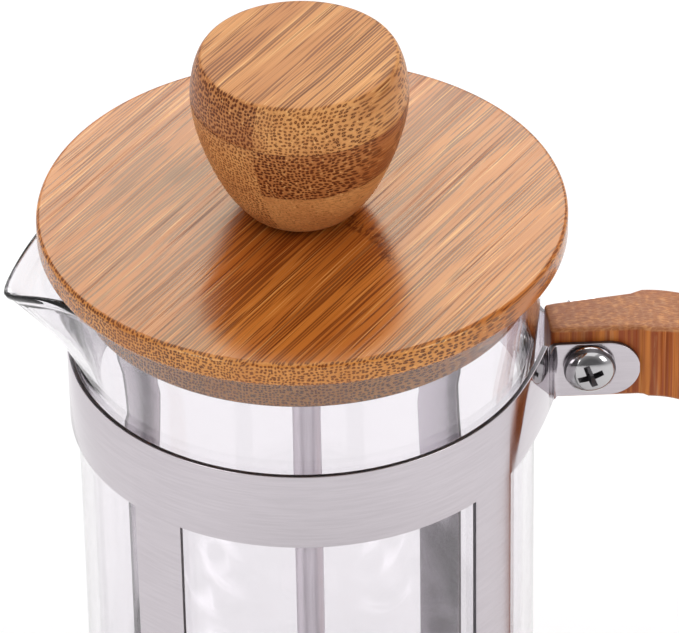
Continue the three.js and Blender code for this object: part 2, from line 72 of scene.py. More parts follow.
# Frame
SHEET = 0.8
BAND_RADIUS = -FRAME_LOW.x
BAND_HEIGHT = 13.2
SLAT_WIDTH = 8.7
SLAT_ANGLES = (45, 135)
FLARE_ANGLE = 30
FLARE_END = 22
FLARE_RADIUS = 90
EAR_SPLAY = 4.5
EAR_FACE = 5.0
EAR_END = 51.05
EAR_HEIGHT = 9.7
EAR_OFFSET = 0.8
EAR_ROOT = 38.0
SHEAR_START = 35.9
SHEAR_END = 36.7
BEND_RADIUS = 1.4
BEND_STEPS = 12
BAND_STEP = 1.5
TAB_REACH = 8.5

# Clamp screws
SCREW_X = 43.6
UPPER_CLAMP_Z = middle("upper_clamp_screw").z
LOWER_CLAMP_Z = middle("lower_clamp_screw").z
SCREW_RADIUS = 1.75
SCREW_LENGTH = 15.2
HEAD_RADIUS = 4.0
HEAD_HEIGHT = 2.8
HEAD_RIM = 0.7  # where the head's straight rim ends and its dome starts
RECESS_DEPTH = 1.5
THREAD_PITCH = 0.6
NUT_WIDTH = 7.0
NUT_HEIGHT = 3.0

# Handle
TONGUE_END = 51.4
HANDLE_WIDTH = HANDLE_HIGH.y - HANDLE_LOW.y
GRIP_DEPTH = 14.0
OUTER_BEND = 27.0
INNER_BEND = 16.0
GRIP_BOW = 1.6
TONGUE_INSIDE = 6.75
HANDLE_REACH = 81.0
HANDLE_EDGE = 0.75

# Beaker
GLASS_RADIUS = 35.1
NECK_RADIUS = 36.1
RIM_RADIUS = 36.4
WALL = 1.8
GLASS_FLOOR = 2.6
GLASS_CORNER = 4.0
SHOULDER_LOW = 109.5
SHOULDER_HIGH = 127.0
LIP_ANGLE = 183.0
LIP_REACH = 46.1
LIP_DROOP = 5.0
LIP_HALF_ANGLE = 36.0
LIP_DEPTH = 18.0
LIP_TIP = 2.0

# Lid and knob
LID_RADIUS = LID_HIGH.x
DISC_THICKNESS = 4.15
PLUG_RADIUS = 33.9
GLUE_LINES = (11.1, 20.3)  # heights of the knob's glue lines above the lid

# Plunger and filter
ROD_RADIUS = 2.2
STUD_RADIUS = 1.6
COLLAR_RADIUS = 4.5
HUB_RADIUS = 4.0
SPIRAL_RADIUS = 28.7
CROSS_RADIUS = 29.0
CENTRE_HOLE = 2.6
GAP = 0.3  # clearance between neighbouring pieces

GRAIN_ANGLE = 50.0  # direction of the lid's and the knob's grain, seen from above

# ---------- meshes ----------


def add_object(name, data):
    made = bpy.data.objects.new(name, data)
    bpy.context.scene.collection.objects.link(made)
    return made


def clean(mesh, distance):
    """Joins vertices that are nearer than a distance and turns the faces outwards."""
    work = bmesh.new()
    work.from_mesh(mesh)
    bmesh.ops.remove_doubles(work, verts=work.verts, dist=distance)
    bmesh.ops.recalc_face_normals(work, faces=work.faces)
    work.to_mesh(mesh)
    work.free()


def add_mesh(name, shape, node, material, smooth_angle=35):
    """A piece that stands for a CAD node and rides on its body. A shape is its vertices, in
    millimetres, and its faces."""
    vertices, faces = shape
    mesh = bpy.data.meshes.new(name)
    mesh.from_pydata([[c * MM for c in v] for v in vertices], [], faces)
    mesh.validate()
    clean(mesh, 1e-7)
    mesh.polygons.foreach_set("use_smooth", [True] * len(mesh.polygons))
    mesh.set_sharp_from_angle(angle=radians(smooth_angle))
    mesh.materials.append(material)
    piece = add_object(name, mesh)
    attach(piece, BODY_OF[node])
    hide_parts(node)
    return piece


def taken(loose):
    """Vertices and faces of the first object with its modifiers applied. Removes all the objects."""
    shape = bpy.data.meshes.new_from_object(loose[0].evaluated_get(bpy.context.evaluated_depsgraph_get()))
    vertices = [v.co.copy() for v in shape.vertices]
    faces = [tuple(face.vertices) for face in shape.polygons]
    for used in loose:
        bpy.data.objects.remove(used)
    return vertices, faces


def bevel(piece, width, segments=2):
    modifier = piece.modifiers.new("edge", "BEVEL")
    modifier.width = width * MM
    modifier.segments = segments
    modifier.limit_method = "ANGLE"
    modifier.angle_limit = radians(40)
    return modifier


def rounded(corners, steps=5):
    """A polyline whose corners (x, y, fillet radius) are rounded."""
    points = []
    for i, (x, y, radius) in enumerate(corners):
        if radius == 0 or i in (0, len(corners) - 1):
            points.append((x, y))
            continue
        here = Vector((x, y))
        back = Vector(corners[i - 1][:2]) - here
        ahead = Vector(corners[i + 1][:2]) - here
        half = back.angle(ahead) / 2
        trim = radius / tan(half)
        centre = here + (back.normalized() + ahead.normalized()).normalized() * (radius / sin(half))
        start = here + back.normalized() * trim - centre
        end = here + ahead.normalized() * trim - centre
        for k in range(steps + 1):
            points.append(tuple(centre + start.slerp(end, k / steps) * radius))
    return points


def ring_points(profile, steps):
    """Vertices and faces of a profile (radius, height) turned about the axis."""
    vertices = []
    for k in range(steps):
        angle = 2 * pi * k / steps
        vertices += [(r * cos(angle), r * sin(angle), z) for r, z in profile]
    rows = len(profile)
    faces = []
    for k in range(steps):
        here, there = k * rows, (k + 1) % steps * rows
        for j in range(rows - 1):
            faces.append((here + j, there + j, there + j + 1, here + j + 1))
    return vertices, faces


def turned(name, profile, node, material, steps):
    """A turned piece. Its profile starts and ends on the axis, or ends at its own start."""
    add_mesh(name, ring_points(profile, steps), node, material)


def bridged(rings, size, closed=False):
    """Faces between neighbouring rings of points, with a cap at each end unless they are closed."""
    faces = [] if closed else [tuple(range(size)), tuple(range((rings - 1) * size, rings * size))]
    for i in range(rings if closed else rings - 1):
        here, there = i * size, (i + 1) % rings * size
        for k in range(size):
            after = (k + 1) % size
            faces.append((here + k, here + after, there + after, there + k))
    return faces


def tube(points, radius, sides, closed=False):
    """Vertices and faces of a round wire along points, which never run straight up."""
    count = len(points)
    vertices = []
    for i, point in enumerate(points):
        before = points[i - 1] if closed or i else point
        after = points[(i + 1) % count] if closed or i < count - 1 else point
        heading = (Vector(after) - Vector(before)).normalized()
        out = heading.cross(Vector((0, 0, 1))).normalized()
        up = out.cross(heading)
        for k in range(sides):
            angle = 2 * pi * k / sides
            vertices.append(Vector(point) + (out * cos(angle) + up * sin(angle)) * radius)
    return vertices, bridged(count, sides, closed)


def merged(parts):
    """Several (vertices, faces) pairs as one."""
    vertices, faces = [], []
    for some_vertices, some_faces in parts:
        start = len(vertices)
        vertices += list(some_vertices)
        faces += [tuple(start + i for i in face) for face in some_faces]
    return vertices, faces


def on_circle(radius, degrees):
    angle = radians(degrees)
    return radius * cos(angle), radius * sin(angle)


def arc(centre_x, centre_y, radius, start, end, steps):
    """Points of an arc from one angle to another."""
    turns = (on_circle(radius, start + (end - start) * i / steps) for i in range(steps + 1))
    return [(centre_x + x, centre_y + y) for x, y in turns]


def smooth(low, high, value):
    t = min(1.0, max(0.0, (value - low) / (high - low)))
    return t * t * (3 - 2 * t)


# ---------- materials ----------

STAVE_WIDTH = 19.0
BUNDLE_WANDER = 1.6
SEED_ACROSS, SEED_DEPTH = 1.7, 0.6  # how far a seed shifts the grain, for each unit along it
STEEL_TONES = ((0.505, 0.468, 0.497), (0.545, 0.508, 0.537))
FLARE_SHINE = (28.5, 35.5)  # x where the flares' smooth stretch starts and ends


class Finish:
    """A material's nodes, with a short call for each kind of node that the finishes use."""

    def __init__(self, name, **settings):
        self.material = bpy.data.materials.new(name)
        self.material.use_nodes = True
        self.tree = self.material.node_tree
        self.tree.nodes.clear()
        self.shader = self.node("ShaderNodeBsdfPrincipled", **settings)
        output = self.tree.nodes.new("ShaderNodeOutputMaterial")
        self.tree.links.new(self.shader.outputs["BSDF"], output.inputs["Surface"])
        coordinates = self.tree.nodes.new("ShaderNodeTexCoord").outputs
        self.place, self.facing = coordinates["Object"], coordinates["Normal"]

    def node(self, kind, attributes=None, **inputs):
        """Adds a node. Keyword names are socket names with _ for a space."""
        made = self.tree.nodes.new(kind)
        for key, value in (attributes or {}).items():
            setattr(made, key, value)
        self.feed_all(made, inputs)
        return made

    def feed(self, socket, value):
        if isinstance(value, bpy.types.NodeSocket):
            self.tree.links.new(value, socket)
        else:
            socket.default_value = value

    def feed_all(self, node, inputs):
        for key, value in inputs.items():
            self.feed(node.inputs[key.replace("_", " ")], value)

    def set(self, **inputs):
        self.feed_all(self.shader, inputs)

    def worked_out(self, kind, operation, values):
        made = self.node(kind, {"operation": operation})
        for socket, value in zip(made.inputs, values):
            self.feed(socket, value)
        return made.outputs

    def math(self, operation, *values):
        return self.worked_out("ShaderNodeMath", operation, values)[0]

    def vector(self, operation, *values):
        result = "Value" if operation == "DOT_PRODUCT" else "Vector"
        return self.worked_out("ShaderNodeVectorMath", operation, values)[result]

    def times(self, a, b):
        return self.math("MULTIPLY", a, b)

    def minus(self, a, b):
        return self.math("SUBTRACT", a, b)

    def absolute(self, value):
        return self.math("ABSOLUTE", value)

    def part(self, vector, axis):
        return self.node("ShaderNodeSeparateXYZ", Vector=vector).outputs[axis]

    def joined(self, x, y, z=0.0):
        return self.node("ShaderNodeCombineXYZ", X=x, Y=y, Z=z).outputs[0]

    def scaled(self, vector, scale, turn=(0, 0, 0), offset=(0, 0, 0)):
        """The vector turned, then scaled along each axis and moved."""
        rotation = [radians(a) for a in turn]
        turned_vector = self.node("ShaderNodeMapping", Vector=vector, Rotation=rotation).outputs[0]
        return self.node("ShaderNodeMapping", Vector=turned_vector, Scale=scale, Location=offset).outputs[0]

    def noise(self, vector, scale, detail=2.0, roughness=0.5, output="Fac"):
        """Noise with a scale for each axis, in cycles per unit of the vector."""
        made = self.node("ShaderNodeTexNoise", Vector=self.scaled(vector, scale), Scale=1.0, Detail=detail,
                         Roughness=roughness)
        return made.outputs[output]

    def ramp(self, value, low, high, start=0.0, end=1.0):
        made = self.node("ShaderNodeMapRange", {"interpolation_type": "SMOOTHSTEP"}, Value=value)
        self.feed_all(made, {"From Min": low, "From Max": high, "To Min": start, "To Max": end})
        return made.outputs[0]

    def mix(self, share, a, b):
        made = self.node("ShaderNodeMix", {"data_type": "RGBA"}, Factor=share)
        self.feed(made.inputs[6], a)
        self.feed(made.inputs[7], b)
        return made.outputs[2]

    def bump(self, height, strength, distance_mm):
        made = self.node("ShaderNodeBump", Height=height, Strength=strength, Distance=distance_mm * MM)
        return made.outputs[0]

    def grained(self, grain, smoothest, roughest, depth_mm):
        """Gives the shader a roughness and a relief that follow one grain."""
        roughness = self.ramp(grain, 0.3, 0.7, smoothest, roughest)
        self.set(Roughness=roughness, Normal=self.bump(grain, 0.2, depth_mm))


def rgb(red, green, blue):
    """A colour given as sRGB bytes."""
    def linear(c):
        c /= 255
        return c / 12.92 if c <= 0.04045 else ((c + 0.055) / 1.055) ** 2.4
    return linear(red), linear(green), linear(blue), 1.0


def staves(look, across, height, layers, first_stave, chequered):
    """Numbers of a point's layer and stave, how dark the stave is, and 1 in the stave without dots."""
    layer = 0.0
    for level in layers:
        layer = look.math("ADD", layer, look.math("GREATER_THAN", height, level * MM))
    stave = look.math("FLOOR", look.math("DIVIDE", look.math("ADD", across, first_stave), STAVE_WIDTH))
    if not chequered:
        where = look.joined(stave, layer)
        white = look.node("ShaderNodeTexWhiteNoise", {"noise_dimensions": "2D"}, Vector=where)
        return layer, stave, white.outputs["Value"], 0.0
    light = look.math("MODULO", look.absolute(look.math("ADD", stave, layer)), 2.0)
    lowest = look.math("LESS_THAN", layer, 0.5)
    dark = look.times(look.minus(1.0, light), look.minus(1.0, lowest))
    # On the flat top the staves hardly differ.
    dark = look.times(dark, look.ramp(look.part(look.facing, "Z"), 0.8, 0.97, 1.0, 0.2))
    return layer, stave, dark, look.times(lowest, look.math("LESS_THAN", stave, -0.5))


def bundles(look, own, spacing, tint):
    """Bundles of fibres in a loose grid on the grain's cross-section. Returns how far a point is in a
    bundle, in the dark halo round one and in a pale heart, and a random number for each bundle."""
    drift = look.noise(own, (0.03, 0.25, 0.25), output="Color")
    strand = look.vector("ADD", own, look.vector("MULTIPLY", drift, (0.0, BUNDLE_WANDER, BUNDLE_WANDER)))
    section = look.joined(*(look.math("DIVIDE", look.part(strand, axis), pitch)
                            for axis, pitch in zip("YZ", spacing)))
    cells = look.node("ShaderNodeTexVoronoi", {"feature": "F1", "voronoi_dimensions": "2D"}, Vector=section,
                      Scale=1.0, Randomness=0.6)
    distance = cells.outputs["Distance"]
    chance = look.node("ShaderNodeSeparateColor", Color=cells.outputs["Color"]).outputs
    growth = look.math("ADD", look.times(tint, 0.09), look.times(chance[0], 0.07))
    from_middle = look.minus(distance, growth)
    dots = look.ramp(from_middle, 0.17, 0.31, 1.0, 0.0)
    halo = look.ramp(from_middle, 0.24, 0.52, 0.35, 0.0)
    heart = look.times(look.ramp(distance, 0.04, 0.15, 0.7, 0.0), look.minus(1.0, tint))
    return dots, halo, heart, chance[1]


def stem_joint(look, grain, own, wave, joint, seed):
    """How dark a joint of the stem is that crosses the grain. It has a place along and across the
    grain, a slope and a half length, all before the seed's shift."""
    at_along, at_across, slope, half_length = joint
    aside = look.minus(look.part(grain, "Y"), at_across + seed * SEED_ACROSS)
    line = look.math("ADD", look.math("MULTIPLY_ADD", aside, slope, at_along + seed),
                     look.ramp(wave, 0.3, 0.7, -0.8, 0.8))
    off_line = look.absolute(look.minus(look.part(grain, "X"), line))
    near = look.times(look.ramp(off_line, 0.5, 1.9, 1.0, 0.0),
                      look.ramp(look.absolute(aside), half_length - 1.5, half_length, 1.0, 0.0))
    blotch = look.noise(own, (0.75, 1.7, 1.7), 2.0, 0.6)
    return look.times(near, look.ramp(blotch, 0.46, 0.6, 0.1, 0.8))


def bamboo(name, turn, tones, shine, spacing=(0.56, 0.56), streaks=(2.3, 2.3), contrast=0.75, lines=0.7,
           golden=0.4, bands=(0.22, 0.32), line_fade=None, first_stave=0.0, layers=(), chequered=False,
           joint=None, seed=0.0):
    """Solid laminated bamboo. After the turn, X runs along the grain: the bundles of fibres show as
    dots on a cut across it and as long streaks on a face along it. Tones are the light ground, the
    dark ground, the pale streaks and the bundles. Lengths of the grain are in millimetres: spacing is
    the bundles' pitch, and streaks and bands are cycles a millimetre across the grain, bands with
    their weight. line_fade is a stretch of Y over which the dark lines fade towards the back."""
    light, dark, pale, fibre = tones
    look = Finish(name)
    grain = look.scaled(look.place, (1 / MM,) * 3, turn, (seed, seed * SEED_ACROSS, seed * SEED_DEPTH))
    height = look.part(look.place, "Z")
    layer, stave, tint, plain = staves(look, look.part(grain, "Y"), height, layers, first_stave, chequered)
    # Each stave and layer gets a piece of grain of its own.
    shift = look.joined(look.times(layer, 37.3), look.times(stave, 11.7), look.times(layer, 5.9))
    own = look.vector("ADD", grain, shift)
    # How far the surface cuts across the grain: 0 on a face along it, 1 on a cut face.
    lean = look.part(look.scaled(look.facing, (1, 1, 1), turn), "X")
    cut = look.ramp(look.absolute(lean), 0.1, 0.5)
    dots, halo, heart, chance = bundles(look, own, spacing, tint)
    clearness = look.math("MULTIPLY_ADD", cut, 0.35, 0.65)
    shown = look.times(clearness, look.math("MULTIPLY_ADD", plain, -0.75, 1.0))
    depth = look.times(shown, look.math("MULTIPLY_ADD", chance, 0.25, contrast))
    thread = look.noise(own, (0.012, 1.0, 1.0), 0.0)
    hair = look.ramp(look.absolute(look.minus(thread, 0.5)), 0.004, 0.02, lines * 0.6, 0.0)
    fine = look.noise(own, (0.03, 3.4, 3.4), 2.0, 0.6)
    fine_lines = look.ramp(fine, 0.3, 0.42, lines, 0.0)
    if line_fade:
        fade = look.ramp(look.part(look.place, "Y"), line_fade[0] * MM, line_fade[1] * MM, 1.15, 0.5)
        fine_lines = look.times(fine_lines, fade)
    streak = look.noise(own, (0.03, *streaks), 3.0, 0.62)
    broad = look.noise(own, (0.007, bands[0], bands[0]), 3.0, 0.6)
    patch = look.noise(own, (0.05, 0.09, 0.09))
    ground = look.math("MULTIPLY_ADD", look.ramp(broad, 0.35, 0.65), bands[1], look.times(tint, 0.5))
    coats = [
        (ground, dark),
        (look.ramp(streak, 0.56, 0.7, 0.0, lines * 1.2), pale),
        (fine_lines, fibre),
        (look.times(hair, look.minus(1.0, cut)), fibre),
        (look.times(cut, golden), pale),
        (look.times(halo, shown), dark),
        (look.times(dots, depth), fibre),
        (look.times(heart, cut), light),
        (look.ramp(patch, 0.4, 0.7, 0.0, 0.22), dark),
    ]
    if joint:
        coats.append((stem_joint(look, grain, own, broad, joint, seed), fibre))
    for level in layers:
        away = look.absolute(look.minus(height, level * MM))
        coats.append((look.ramp(away, 0.04 * MM, 0.14 * MM, 0.3, 0.0), fibre))
    colour = light
    for share, tone in coats:
        colour = look.mix(share, colour, tone)
    roughness, sheen_tint, level = shine
    look.set(
        Base_Color=colour,
        Roughness=look.ramp(fine, 0.2, 0.8, roughness * 0.85, roughness * 1.15),
        Specular_Tint=sheen_tint,
        # The lacquer doesn't fill the dark lines.
        Specular_IOR_Level=look.ramp(fine, 0.3, 0.5, level * 0.35, level),
        Normal=look.bump(look.minus(look.times(fine, 0.5), look.times(dots, 0.6)), 0.3, 0.03),
    )
    return look.material


def satin_steel(name, shade=1.06, roughness=0.17, scratches=(150, 150, 3600), rolled=False):
    """Rolled sheet or drawn rod with a fine satin finish. The rolled sheet has painted light on its
    faces towards the axis, which are coloured brighter, and it is smoother on the flares towards the ears."""
    look = Finish(name, Metallic=1.0)
    cloud = look.noise(look.place, (90, 90, 90), 4.0, 0.6)
    scratch = look.noise(look.place, scratches, 2.0, 0.6)
    speck = look.noise(look.place, (3000, 3000, 3000), 1.0)
    smudge = look.ramp(cloud, 0.25, 0.8, roughness, roughness + 0.05)
    relief = look.math("MULTIPLY_ADD", scratch, 0.6, look.times(speck, 0.4))
    dull, clean = ([c * shade for c in tone] + [1.0] for tone in STEEL_TONES)
    tone = look.mix(look.ramp(scratch, 0.3, 0.7), dull, clean)
    if rolled:
        # Painted light: faces turned towards the axis get a brighter colour, standing in for light on the
        # sheet's inner faces.
        from_axis = look.vector("MULTIPLY", look.place, (1 / MM, 1 / MM, 0.0))
        inside = look.ramp(look.vector("DOT_PRODUCT", from_axis, look.facing), -20.0, -10.0, 1.0, 0.0)
        tone = look.mix(inside, tone, (0.8, 0.765, 0.79, 1))
        x = look.part(look.place, "X")
        start, end = FLARE_SHINE
        flare = look.times(look.ramp(x, start * MM, (start + 2.0) * MM),
                           look.ramp(x, end * MM, (end + 2.5) * MM, 1.0, 0.0))
        smudge = look.times(smudge, look.math("MULTIPLY_ADD", flare, -0.65, 1.0))
    look.set(Base_Color=tone, Roughness=smudge, Normal=look.bump(relief, 0.06, 0.01))
    return look.material


def cut_edge_and_shade():
    """The blanked edge of the sheet and the screw's recess: darker and rougher than its faces. The dark
    colour is partly the edge's own and partly painted shade: the shadow in the gap between band and glass,
    and the shade inside the recess.
    """
    look = Finish("cut_edge_and_shade", Metallic=1.0)
    grain = look.noise(look.place, (2500, 2500, 600), 3.0, 0.6)
    look.set(Base_Color=look.mix(grain, (0.08, 0.075, 0.08, 1), (0.2, 0.19, 0.2, 1)))
    look.grained(grain, 0.35, 0.5, 0.02)
    return look.material


def bright_steel(name, shade):
    """Polished turned steel, with faint turning marks."""
    look = Finish(name, Base_Color=(shade, shade * 0.985, shade, 1), Metallic=1.0)
    marks = look.noise(look.place, (700, 700, 7000))
    cloud = look.noise(look.place, (300, 300, 300), 3.0)
    look.set(Roughness=look.ramp(cloud, 0.3, 0.7, 0.08, 0.17), Normal=look.bump(marks, 0.08, 0.01))
    return look.material


def filter_steel():
    look = Finish("filter_steel", Base_Color=(0.6, 0.6, 0.61, 1), Metallic=1.0)
    look.grained(look.noise(look.place, (1500, 1500, 1500), 3.0), 0.24, 0.4, 0.02)
    return look.material


def clear_glass():
    """Borosilicate glass with the slight waviness of a drawn tube."""
    look = Finish("glass", Base_Color=(0.915, 0.9, 0.922, 1), Transmission_Weight=1.0, IOR=1.47)
    wave = look.noise(look.place, (28, 28, 9))
    look.set(Roughness=look.ramp(wave, 0.0, 1.0, 0.0, 0.012), Normal=look.bump(wave, 0.1, 0.35))
    return look.material


def silicone(name, colour, transmission):
    look = Finish(name, Transmission_Weight=transmission, IOR=1.41, Sheen_Weight=0.15)
    dust = look.noise(look.place, (900, 900, 900), 4.0)
    dusty = [min(1.0, c * 1.25 + 0.01) for c in colour[:3]] + [1.0]
    look.set(Base_Color=look.mix(look.ramp(dust, 0.4, 0.75), colour, dusty))
    look.grained(dust, 0.5, 0.68, 0.03)
    return look.material


def brass():
    look = Finish("brass", Metallic=1.0)
    marks = look.noise(look.place, (400, 400, 6000), 3.0)
    look.set(Base_Color=look.mix(marks, (0.62, 0.42, 0.16, 1), (0.78, 0.58, 0.27, 1)))
    look.grained(marks, 0.2, 0.34, 0.02)
    return look.material


# Shine is a roughness, the reflection's tint and its level.
LACQUER = (0.2, (1.0, 0.93, 0.6, 1), 0.78)
OIL = (0.42, (1.0, 0.92, 0.66, 1), 0.3)
SATIN = (0.5, (1.0, 0.98, 0.94, 1), 0.4)
LID_TONES = (rgb(198, 117, 46), rgb(166, 84, 27), rgb(232, 168, 94), rgb(92, 36, 10))
KNOB_TONES = (rgb(216, 152, 90), rgb(152, 78, 34), rgb(234, 182, 118), rgb(84, 34, 12))
HANDLE_TONES = (rgb(238, 150, 62), rgb(150, 68, 22), rgb(196, 152, 108), rgb(104, 52, 24))
LID_BAMBOO = bamboo(
    "lid_bamboo", (0, 0, -GRAIN_ANGLE), LID_TONES, LACQUER, spacing=(0.5, 0.5), contrast=0.95,
    line_fade=(-30.0, 30.0), joint=(-1.05, -13.0, 0.5, 7.0), seed=3.0,
)
KNOB_BAMBOO = bamboo(
    "knob_bamboo", (0, 0, -GRAIN_ANGLE), KNOB_TONES, OIL, spacing=(0.55, 0.55), contrast=0.85, golden=0.12,
    first_stave=2.4, layers=[LID_TOP + level for level in GLUE_LINES], chequered=True,
)
HANDLE_BAMBOO = bamboo(
    "handle_bamboo", (0, 90, 0), HANDLE_TONES, SATIN, spacing=(0.3, 1.3), streaks=(2.4, 0.5), contrast=0.1,
    lines=0.32, golden=0.5, bands=(0.7, 0.8), seed=9.0,
)
STEEL = satin_steel("satin_steel", rolled=True)
# The high shade is painted light: it brightens the rod as seen through the glass. The rougher finish and
# lengthwise scratches are the drawn rod's own.
BRIGHTENED_ROD_STEEL = satin_steel("rod_steel_brightened", 1.55, 0.42, (3600, 3600, 90))
BRIGHT = bright_steel("bright_steel", 0.6)
# A darker copy of the bright steel: painted shade for the dark room that the screw's domed head reflects.
SHADED_SCREW_STEEL = bright_steel("screw_steel_shaded", 0.5)
CUT_EDGE_AND_SHADE = cut_edge_and_shade()
FILTER_STEEL = filter_steel()
GLASS = clear_glass()
PAD_RUBBER = silicone("pad_silicone", (0.035, 0.035, 0.038, 1), 0.0)
CLEAR_RUBBER = silicone("clear_silicone", (0.8, 0.8, 0.78, 1), 0.55)
BRASS = brass()

# ---------- camera, lights and floor ----------


def add_camera():
    """The camera looks down on the lid from the front, a little from the lip's side."""
    azimuth, elevation, roll = (radians(a) for a in (-6.4, 36.17, -1.0))
    distance = 901.09
    lid_offset = (-5.64, 16.58)  # the lid's middle from the picture's middle, to the right and up
    away = Vector((-sin(azimuth), cos(azimuth), 0))
    side = Vector((cos(azimuth), sin(azimuth), 0))
    forward = away * cos(elevation) - Vector((0, 0, sin(elevation)))
    above = side.cross(forward)
    right = side * cos(roll) + above * sin(roll)
    up = above * cos(roll) - side * sin(roll)
    data = bpy.data.cameras.new("camera")
    data.sensor_width = 36
    data.lens = 318.1
    camera = add_object("camera", data)
    place = Vector((0, 0, LID_TOP)) - right * lid_offset[0] - up * lid_offset[1] - forward * distance
    camera.matrix_world = Matrix.LocRotScale(place * MM, Matrix((right, up, -forward)).transposed(), None)
    bpy.context.scene.camera = camera


def add_light(name, place, target, size, power):
    """A soft box. Places and sizes are in metres."""
    data = bpy.data.lights.new(name, "AREA")
    data.shape = "RECTANGLE"
    data.size, data.size_y = size
    data.energy = power
    light = add_object(name, data)
    light.location = place
    light.rotation_euler = (Vector(target) - Vector(place)).to_track_quat("-Z", "Y").to_euler()


def add_studio():
    """White surroundings, darker towards the front, with soft boxes behind, above and at the sides."""
    world = bpy.data.worlds.new("studio")
    bpy.context.scene.world = world
    world.use_nodes = True
    tree = world.node_tree
    background = tree.nodes["Background"]
    background.inputs["Color"].default_value = (1.0, 0.985, 0.995, 1)
    direction = tree.nodes.new("ShaderNodeSeparateXYZ")
    tree.links.new(tree.nodes.new("ShaderNodeTexCoord").outputs["Generated"], direction.inputs[0])
    fall = tree.nodes.new("ShaderNodeMapRange")
    tree.links.new(direction.outputs["Y"], fall.inputs["Value"])
    for key, number in (("From Min", -0.92), ("From Max", -0.6), ("To Min", 0.16), ("To Max", 0.56)):
        fall.inputs[key].default_value = number
    tree.links.new(fall.outputs[0], background.inputs["Strength"])
    add_light("back_box", (0.15, 1.3, 1.15), (0, 0, 0.14), (1.7, 0.9), 14.5)
    add_light("top_box", (-0.1, -0.2, 1.6), (0, 0, 0.1), (2.2, 1.8), 9)
    add_light("left_box", (-0.9, -0.8, 0.45), (0, 0, 0.14), (0.5, 0.5), 3)
    add_light("right_box", (0.9, -0.7, 0.6), (0, 0, 0.14), (0.5, 0.5), 3)
    mesh = bpy.data.meshes.new("floor")
    half = 4.0
    corners = [(-half, -half, 0), (half, -half, 0), (half, half, 0), (-half, half, 0)]
    mesh.from_pydata(corners, [], [(0, 1, 2, 3)])
    look = Finish(
        "floor", Base_Color=(0.76, 0.76, 0.76, 1), Roughness=0.7,
        Emission_Color=(1, 0.99, 0.995, 1), Emission_Strength=0.19,
    )
    mesh.materials.append(look.material)
    add_object("floor", mesh)
    bpy.context.scene.view_settings.view_transform = "Standard"


add_camera()
add_studio()

# ---------- frame ----------


def ear_face(x):
    """Distance of the outer ear face from the handle's plane."""
    return EAR_FACE + (x - SCREW_X) * tan(radians(EAR_SPLAY))


def half_sheet_line():
    """The sheet's middle line from opposite the handle to the end of the far ear, seen from above."""
    mid = BAND_RADIUS - SHEET / 2
    half_slat = degrees(SLAT_WIDTH / 2 / BAND_RADIUS)
    angles = {180 - BAND_STEP * i for i in range(int((180 - FLARE_ANGLE) / BAND_STEP) + 1)}
    angles |= {slat + side * half_slat for slat in SLAT_ANGLES for side in (-1, 1)}
    line = [on_circle(mid, angle) for angle in sorted(angles, reverse=True)]
    centre = on_circle(mid - FLARE_RADIUS, FLARE_ANGLE)
    line += arc(*centre, FLARE_RADIUS, FLARE_ANGLE, FLARE_END, BEND_STEPS)[1:]
    heading = radians(FLARE_END - 90)
    splay = radians(EAR_SPLAY)

    def mid_face(x):
        return ear_face(x) - SHEET / 2 / cos(splay)

    x, y = line[-1]
    slope, ear_slope = tan(heading), tan(splay)
    corner_x = (y - slope * x - mid_face(0)) / (ear_slope - slope)
    trim = BEND_RADIUS * tan((splay - heading) / 2)
    centre_x = corner_x - trim * cos(heading) - BEND_RADIUS * sin(heading)
    centre_y = mid_face(corner_x) - trim * sin(heading) + BEND_RADIUS * cos(heading)
    line += arc(centre_x, centre_y, BEND_RADIUS, FLARE_END - 180, EAR_SPLAY - 90, BEND_STEPS)
    start = line[-1][0]
    round_start = EAR_END - EAR_HEIGHT / 2
    flat = [start + (round_start - start) * i / 6 for i in range(1, 7)]
    ends = [round_start + EAR_HEIGHT / 2 * sin(radians(a)) for a in range(6, 85, 6)]
    line += [(x, mid_face(x)) for x in [*flat, *ends]]
    return line


def ear_limits(x, clamp_z, outwards):
    """The sheet's lowest and highest z at an x, for the band that is clamped at clamp_z. Outwards is
    1 for the upper band and -1 for the lower."""
    band_free = BAND_HEIGHT / 2 + 0.6
    band_window = BAND_HEIGHT / 2 - 0.6
    half = EAR_HEIGHT / 2
    over = x - (EAR_END - half)
    reach = sqrt(max(0.0, half * half - over * over)) if over > 0 else half
    free = reach - EAR_OFFSET
    window = reach + EAR_OFFSET
    free += (band_free - free) * (1 - smooth(SHEAR_START, SHEAR_END, x))
    window += (band_window - window) * (1 - smooth(EAR_ROOT - 0.2, EAR_ROOT + 0.2, x))
    ends = (clamp_z - outwards * window, clamp_z + outwards * free)
    return min(ends), max(ends)


